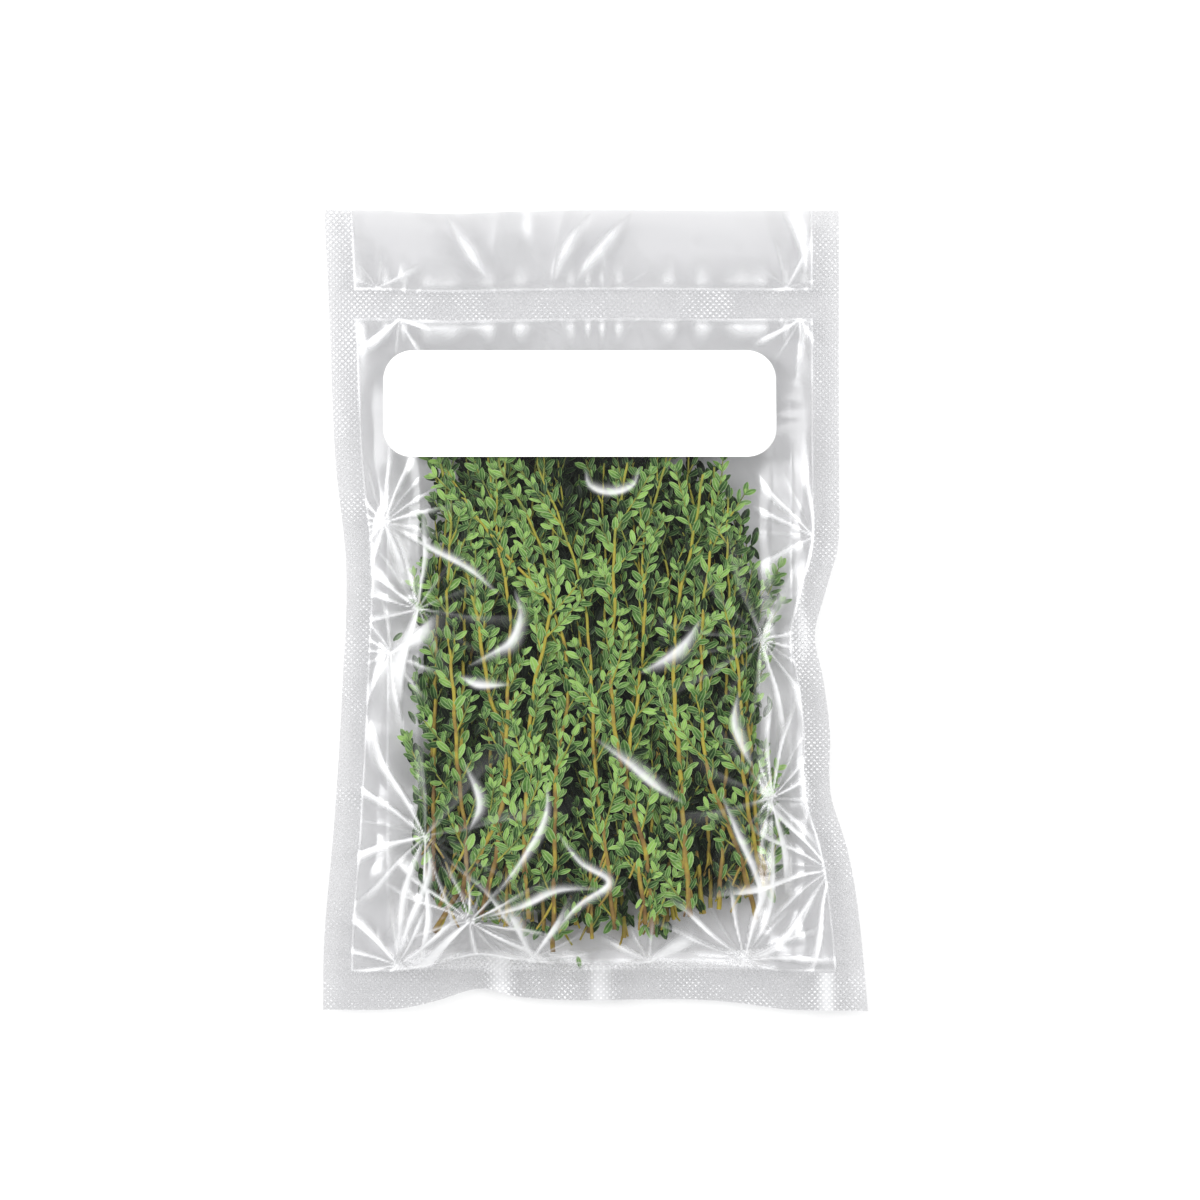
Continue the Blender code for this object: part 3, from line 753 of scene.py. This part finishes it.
def sprig(name, layer, lane):
    """One sprig: its stem along its lane or its route, then the leaves and side shoots of each joint."""
    low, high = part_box(name)
    dice = random.Random(name)
    count = LAYER_SPRIGS[layer]
    across = -1 + 2 * (lane + 0.5) / count
    half = LAYER_WIDTH[layer] / 2
    x_cut = BUNDLE_CENTRE + across * half * 0.99 - LAYER_LEAN[layer] / 2
    x_tip = BUNDLE_CENTRE + across * half * 0.90 + LAYER_LEAN[layer] / 2
    y_cut, y_tip = low.y + 0.001 - LONG_ENDS.get(name, 0), high.y - 0.003
    steps = 90
    s = np.linspace(0, 1, steps)
    sway = dice.uniform(0.0015, 0.0042) * np.sin(dice.uniform(0, 6) + s * dice.uniform(2, 5))
    kink = 0.00018 * np.sin(dice.uniform(0, 6) + s * 60)
    lean = dice.uniform(-0.016, 0.016) * (s - 0.5)
    stray = STRAY_ENDS.get(name, 0) * np.clip(1 - s / 0.16, 0, 1) ** 1.3
    x = x_cut + (x_tip - x_cut) * s + sway + kink + lean + stray
    held_in = BUNDLE_HALF_WIDTH + (np.abs(x) - BUNDLE_HALF_WIDTH) * 0.6
    x = np.where(np.abs(x) > BUNDLE_HALF_WIDTH, np.sign(x) * held_in, x)
    y = y_cut + (y_tip - y_cut) * s
    # The tips are drawn together under the label.
    gathered = np.clip((y - 0.003) / 0.037, 0, 1)
    gathered = gathered * gathered * (3 - 2 * gathered)
    x = x * (1 - 0.14 * gathered) - 0.0030 * gathered
    if layer == TOP_LAYER:
        x = through(list(zip(TOP_STATIONS, TOP_ROUTES[lane])), y) + kink
    z = (layer + dice.uniform(0.3, 0.62)) * LAYER_DEPTH
    z = z + 0.0011 * np.sin(dice.uniform(0, 6) + s * dice.uniform(12, 24))
    line = np.stack([x, y, z], axis=1)
    plant = Plant()
    thick = dice.uniform(0.85, 1.15)
    # The top layer's stems are the thickest, and lie clear of the leaves below them.
    if layer == TOP_LAYER:
        thick *= 1.15
        line[:, 2] += 0.16 * LAYER_DEPTH
    add_stem(plant, line, 0.00070 * thick, 0.00032 * thick, dice.uniform(0.05, 0.35), dice.uniform(0.7, 0.95))
    if layer == TOP_LAYER and lane in BARE_LANES:
        bare = LONG_BARE_SHARE
    else:
        bare = dice.choice(BARE_SHARES)
    spacing = dice.uniform(0.0056, 0.0070)
    joints = int((y_tip - y_cut) * (1 - bare) / spacing)
    # Bare twigs fork off near the cut end.
    for k in range(dice.choice((2, 3, 4))):
        i = int(steps * dice.uniform(0.02, 0.16))
        way = np.array((dice.uniform(-0.7, 0.7), -1.0, dice.uniform(-0.1, 0.2)))
        reach = np.linspace(0, dice.uniform(0.004, 0.009), 5)[:, None]
        twig = line[i] + reach * way + reach**2 * np.array((dice.uniform(-30, 30), 0, 0))
        add_stem(plant, twig, 0.00048, 0.0003, 0.55, 0.25)
    turn = dice.uniform(0, 3)
    # Painted shade: the lower layers' sprigs are darker, all but the outermost one at each side.
    tone = dice.uniform(0.26, 0.55) - 0.13 * (TOP_LAYER - layer) * (0 < lane < count - 1)
    if layer < TOP_LAYER:
        for k in range(BED_LEAVES):
            i = int(steps * dice.uniform(0.02, 0.97))
            foot = line[i] + np.array((dice.uniform(-0.006, 0.006), 0, dice.uniform(-0.0015, 0.0005)))
            way = np.array((dice.uniform(-0.8, 0.8), 1.0, dice.uniform(-0.2, 0.2)))
            up = np.array((dice.gauss(0, 0.3), dice.gauss(0, 0.3), 1.0))
            length = dice.uniform(0.0040, 0.0056)
            add_leaf(plant, foot, way, up, length, length * 0.46, dice, tone * dice.uniform(0.2, 0.9))
    for k in range(joints + 1):
        share = bare + (1 - bare) * k / joints
        i = min(steps - 2, int(share * (steps - 1)))
        tangent = unit(line[i + 1] - line[i])
        turn += math.pi / 2
        size = dice.uniform(0.0048, 0.0063) * (1 - 0.25 * share**3)
        add_joint(plant, line[i], tangent, turn, dice, size, tone, tuft=dice.choice((1, 2, 3, 4)),
                  upside=k < 2 and dice.random() < 0.3)
        if k < joints and dice.random() < 0.85:
            hand = 1 if dice.random() < 0.5 else -1
            lean = math.radians(dice.uniform(16, 38)) * hand
            way = np.array((
                tangent[0] * math.cos(lean) + tangent[1] * math.sin(lean),
                tangent[1] * math.cos(lean) - tangent[0] * math.sin(lean),
                dice.uniform(-0.12, 0.14),
            ))
            room = max(0.004, y_tip + 0.002 - line[i][1])
            length = min(dice.uniform(0.007, 0.021), room)
            add_shoot(plant, line[i], way, length, dice, tone + 0.1, -0.25 * hand * dice.random())
    return plant


def plant_mesh(name, plant, layer):
    """The sprig's mesh, pressed between the films, with what its materials read at each point."""
    points = np.concatenate(plant.points)
    # Painted shade: leaves deep inside the bundle are darkened, as if shaded by the layers over them, except
    # near its sides and its cut ends, where the lower layers' painted shade is eased.
    outward = np.clip(np.abs(points[:, 2] / (LAYER_DEPTH * len(LAYER_SPRIGS)) * 2 - 1), 0, 1)
    at_side = np.clip((np.abs(points[:, 0] - BUNDLE_CENTRE) - 0.044) / 0.008, 0, 1)
    outward = np.maximum(outward, at_side * 0.9)
    at_cut = np.clip((-0.078 - points[:, 1]) / 0.014, 0, 1)
    outward = np.maximum(outward, at_cut * 0.75)
    shade = np.where(np.concatenate(plant.on_leaf), 0.42 * (1 - outward), 0)
    tone = np.concatenate(plant.tone) - shade + 0.09 * (TOP_LAYER - layer) * at_cut
    points = pressed(points)
    faces = np.concatenate(plant.faces)
    kinds = np.concatenate(plant.kinds)
    # A cut face's triangles name their middle point twice.
    corners = [list(dict.fromkeys(face)) for face in faces.tolist()]
    mesh = bpy.data.meshes.new(name)
    mesh.from_pydata(points.tolist(), [], corners)
    mesh.polygons.foreach_set("use_smooth", np.ones(len(corners), bool))
    mesh.polygons.foreach_set("material_index", kinds.astype(np.int32))
    toned = mesh.attributes.new("tone", "FLOAT", "POINT")
    toned.data.foreach_set("value", tone.astype(np.float32))
    where = np.zeros((len(points), 3), np.float32)
    where[:, :2] = np.concatenate(plant.blade)
    placed = mesh.attributes.new("blade", "FLOAT_VECTOR", "POINT")
    placed.data.foreach_set("vector", where.ravel())
    return mesh


def leaf_material():
    """A thyme leaf: matt green, paler along the midrib and the rolled edge, freckled with oil glands, with
    painted shade on one half and at its foot.
    """
    material, start = new_material("thyme_leaf")
    tone = start.node("Attribute", {"attribute_name": "tone"}, output=2)
    blade = start.node("Attribute", {"attribute_name": "blade"}, output=1)
    across = start.node("SeparateXYZ", None, {"Vector": blade})
    along = across.also(1)
    place = start.node("TexCoord", output=3)
    off_rib = start.math("ABSOLUTE", across * 2 - 1)
    rib = ((0.20 - off_rib) * 7).clamped() * (1 - along * 0.6)
    rolled = ((off_rib - 0.70) * 3.6).clamped()
    veins = start.math("SINE", (along * 5 - off_rib * 1.6) * 6.28) * 0.5 + 0.5
    mottle = start.node("TexNoise", None, {"Vector": place, "Scale": 700.0, "Detail": 3.0})
    speck = start.node("TexNoise", None, {"Vector": place, "Scale": 3800.0, "Detail": 1.0})
    # Painted shade: one half of each leaf is darker than the other, and its foot darker than its tip, as
    # light falls across its keel; the tone attribute also carries the bundle's painted depth shade.
    depth = (tone + (mottle - 0.5) * 0.55 + (speck - 0.5) * 0.25 + veins * 0.02
             + (across - 0.5) * 0.20 + (along - 0.45) * 0.22).clamped()
    green = depth.node("ValToRGB", {"stops": (
        (0.0, (0.004, 0.012, 0.004, 1)),
        (0.3, (0.023, 0.075, 0.014, 1)),
        (0.6, (0.085, 0.205, 0.037, 1)),
        (1.0, (0.265, 0.470, 0.100, 1)),
    )}, {"Fac": depth})
    paler = (rib + rolled).clamped() * (0.08 + depth * 1.3).clamped()
    colour = paler.mix(green, (0.40, 0.54, 0.24, 1))
    height = (1 - rib) * 0.00006 + veins * 0.000005 + mottle * 0.00005
    bump = start.node("Bump", None, {"Strength": 0.8, "Distance": 1.0, "Height": height})
    surface = start.node("BsdfPrincipled", None, {
        "Base Color": colour,
        "Roughness": 0.34 + mottle * 0.2,
        "Specular IOR Level": 0.2,
        "Normal": bump,
    })
    finish_material(start, surface)
    return material


def stem_material():
    """Bark: red-brown at the old end, golden along the middle and green near the tip, finely ridged."""
    material, start = new_material("thyme_stem")
    tone = start.node("Attribute", {"attribute_name": "tone"}, output=2)
    place = start.node("TexCoord", output=3)
    patches = start.node("TexNoise", None, {"Vector": place, "Scale": 190.0, "Detail": 3.0})
    long_place = start.node("Mapping", None, {"Vector": place, "Scale": (2600.0, 220.0, 2600.0)})
    ridges = start.node("TexNoise", None, {"Vector": long_place, "Scale": 1.0, "Detail": 3.0})
    age = (tone + (patches - 0.5) * 1.1).clamped()
    bark = age.node("ValToRGB", {"stops": (
        (0.0, (0.130, 0.065, 0.028, 1)),
        (0.25, (0.300, 0.195, 0.048, 1)),
        (0.5, (0.490, 0.410, 0.048, 1)),
        (0.75, (0.390, 0.400, 0.048, 1)),
        (1.0, (0.150, 0.230, 0.050, 1)),
    )}, {"Fac": age})
    colour = (ridges * 0.5).mix(bark, (0.16, 0.10, 0.03, 1))
    bump = start.node("Bump", None, {"Strength": 0.7, "Distance": 1.0, "Height": ridges * 0.00018})
    surface = start.node("BsdfPrincipled", None, {
        "Base Color": colour,
        "Roughness": 0.48 + ridges * 0.15,
        "Specular IOR Level": 0.25,
        "Normal": bump,
    })
    finish_material(start, surface)
    return material


def cut_material():
    """The cut face of a stem: pale pith with a darker rim of bark."""
    material, start = new_material("thyme_cut")
    place = start.node("TexCoord", output=3)
    grain = start.node("TexNoise", None, {"Vector": place, "Scale": 2400.0, "Detail": 2.0})
    surface = start.node("BsdfPrincipled", None, {
        "Base Color": grain.mix((0.42, 0.33, 0.17, 1), (0.24, 0.15, 0.06, 1)),
        "Roughness": 0.75,
    })
    finish_material(start, surface)
    return material


thyme_materials = (stem_material(), leaf_material(), cut_material())


def plant_object(name, plant, layer, node):
    """Puts one sprig or leaf into the scene, in place of its node."""
    mesh = plant_mesh(name, plant, layer)
    for material in thyme_materials:
        mesh.materials.append(material)
    piece = bpy.data.objects.new(name, mesh)
    bpy.context.collection.objects.link(piece)
    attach(piece, "root")
    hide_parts(node)
    return piece


number = 0
for layer, lanes in enumerate(LAYER_SPRIGS):
    for lane in range(lanes):
        number += 1
        node = f"sprig_{number:02d}"
        plant_object(f"thyme_{node}", sprig(node, layer, lane), layer, node)

# --- Loose leaves ---------------------------------------------------------------------------------
# Three thyme leaves that broke off the bundle and are held flat between the films beside it.
# They are the same leaf as on the sprigs, and lie where the vacuum left them.

LOOSE_TURNS = {"loose_leaf_1": 40, "loose_leaf_2": 100, "loose_leaf_3": -35}

for node, degrees in LOOSE_TURNS.items():
    low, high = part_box(node)
    turn = math.radians(degrees)
    way = np.array((math.cos(turn), math.sin(turn), 0.0))
    middle = np.array((low + high) / 2)
    plant = Plant()
    add_leaf(plant, middle - way * 0.0019, way, np.array((0.15, 0.1, 1.0)), 0.0038, 0.0017,
             random.Random(node), 0.45)
    plant_object(f"thyme_{node}", plant, 0, node)

# --- Front film -----------------------------------------------------------------------------------
# The upper panel of the pouch, the same clear film as the back one and welded to it along the seals.
# It is drawn down tight over the bundle, so the stems lift it into low lumps and its slack stands up in
# creases.

front_film = film_sheet("front_film_clear", front=True, spacing=0.0005)
front_film.data.materials.append(clear_film)
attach(front_film, "root")
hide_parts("front_film")

# --- Label ----------------------------------------------------------------------------------------
# A blank self-adhesive label of white coated paper, die-cut with rounded corners and pressed onto the front
# film over the bundle's tips after the pouch was closed.

LABEL_CORNER = 0.0092
LABEL_THICKNESS = 0.0002
LABEL_GAP = 0.0003


def label_mesh(name):
    """A rounded rectangle whose rows shorten towards its top and bottom, bent to the film's curve."""
    rows, columns = 57, 121
    v = np.linspace(-1, 1, rows)
    heights = np.sin(v * math.pi / 2) * LABEL_HEIGHT / 2
    into_corner = np.clip(np.abs(heights) - (LABEL_HEIGHT / 2 - LABEL_CORNER), 0, LABEL_CORNER)
    half_widths = LABEL_WIDTH / 2 - LABEL_CORNER + np.sqrt(LABEL_CORNER**2 - into_corner**2)
    u = np.linspace(-1, 1, columns)
    x = LABEL_CENTRE[0] + u[None, :] * half_widths[:, None]
    y = LABEL_CENTRE[1] + np.repeat(heights[:, None], columns, axis=1)
    ripple = 0.00010 * np.sin(x * 120 + y * 60) + 0.00006 * np.sin(x * 260 - y * 150)
    z = draped_height(x, y) + LABEL_GAP + ripple
    points = np.stack([x.ravel(), y.ravel(), z.ravel()], axis=1)
    mesh = bpy.data.meshes.new(name)
    mesh.from_pydata(points.tolist(), [], grid_faces(rows, columns).tolist())
    mesh.polygons.foreach_set("use_smooth", np.ones(len(mesh.polygons), bool))
    return mesh


def label_material():
    """White coated paper: a satin face with the faint mottle of its fibres."""
    material, start = new_material("label_stock")
    place = start.node("TexCoord", output=3)
    fibres = start.node("TexNoise", None, {"Vector": place, "Scale": 1500.0, "Detail": 4.0})
    clouds = start.node("TexNoise", None, {"Vector": place, "Scale": 60.0, "Detail": 2.0})
    bump = start.node("Bump", None, {"Strength": 0.3, "Distance": 1.0, "Height": fibres * 0.00003})
    surface = start.node("BsdfPrincipled", None, {
        "Base Color": clouds.mix((0.93, 0.93, 0.93, 1), (0.91, 0.91, 0.90, 1)),
        "Roughness": 0.42 + fibres * 0.12,
        "Normal": bump,
    })
    finish_material(start, surface)
    return material


label = bpy.data.objects.new("label_blank", label_mesh("label_blank"))
bpy.context.collection.objects.link(label)
label.data.materials.append(label_material())
stock = label.modifiers.new("Stock", "SOLIDIFY")
stock.thickness = LABEL_THICKNESS
stock.offset = 1
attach(label, "root")
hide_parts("label")

# --- Table, lamps and camera ----------------------------------------------------------------------
# A plain white table top, three soft boxes above it, and a camera straight above the middle of the pouch.

CAMERA_HEIGHT = 1.408
CAMERA_PLACE = (0.00156, 0.00297)
FLOOR_HALF = 1.3

floor_mesh = bpy.data.meshes.new("table_top")
floor_corners = [(a * FLOOR_HALF, b * FLOOR_HALF, 0) for a, b in ((-1, -1), (1, -1), (1, 1), (-1, 1))]
floor_mesh.from_pydata(floor_corners, [], [(0, 1, 2, 3)])
floor = bpy.data.objects.new("table_top", floor_mesh)
bpy.context.collection.objects.link(floor)
floor_look, start = new_material("table_white")
soft = start.node("TexNoise", None, {"Vector": start.node("TexCoord", output=3), "Scale": 30.0})
finish_material(start, start.node("BsdfPrincipled", None, {
    "Base Color": soft.mix((0.78, 0.78, 0.78, 1), (0.77, 0.77, 0.77, 1)),
    "Roughness": 0.9,
    "Specular IOR Level": 0.1,
}))
floor_mesh.materials.append(floor_look)

# Name, place, width, length and power of each soft box. They stand low to the sides, so that only the steep
# sides of the folds mirror them.
LAMPS = (
    ("lamp_left", (-1.05, 0.30, 0.95), 0.50, 1.00, 14.2),
    ("lamp_right", (1.10, 0.10, 0.95), 0.50, 1.00, 9.6),
    ("lamp_top", (0.05, 1.15, 0.90), 1.00, 0.50, 9.2),
)

for name, place, width, length, power in LAMPS:
    light = bpy.data.lights.new(name, "AREA")
    light.shape = "RECTANGLE"
    light.size = width
    light.size_y = length
    light.energy = power
    lamp = bpy.data.objects.new(name, light)
    lamp.location = place
    lamp.rotation_euler = (-Vector(place)).to_track_quat("-Z", "Y").to_euler()
    bpy.context.collection.objects.link(lamp)

# The room is plain white, and dimmer in what the glossy surfaces mirror, which keeps the flat film clear.
world = bpy.data.worlds.new("studio")
bpy.context.scene.world = world
world.use_nodes = True
world.node_tree.nodes.clear()
start = Link(world.node_tree)
seen = start.node("LightPath", output=0)
mirrored = seen.also("Is Glossy Ray")
strength = 0.63 + seen * 0.37 - mirrored * 0.47
sky = start.node("Background", None, {"Color": (1, 1, 1, 1), "Strength": strength})
output = world.node_tree.nodes.new("ShaderNodeOutputWorld")
world.node_tree.links.new(sky.socket, output.inputs["Surface"])

camera_data = bpy.data.cameras.new("camera")
camera_data.lens = 135
camera_data.sensor_width = 36
camera = bpy.data.objects.new("camera", camera_data)
camera.location = (*CAMERA_PLACE, CAMERA_HEIGHT)
bpy.context.collection.objects.link(camera)
bpy.context.scene.camera = camera
bpy.context.scene.view_settings.view_transform = "Standard"
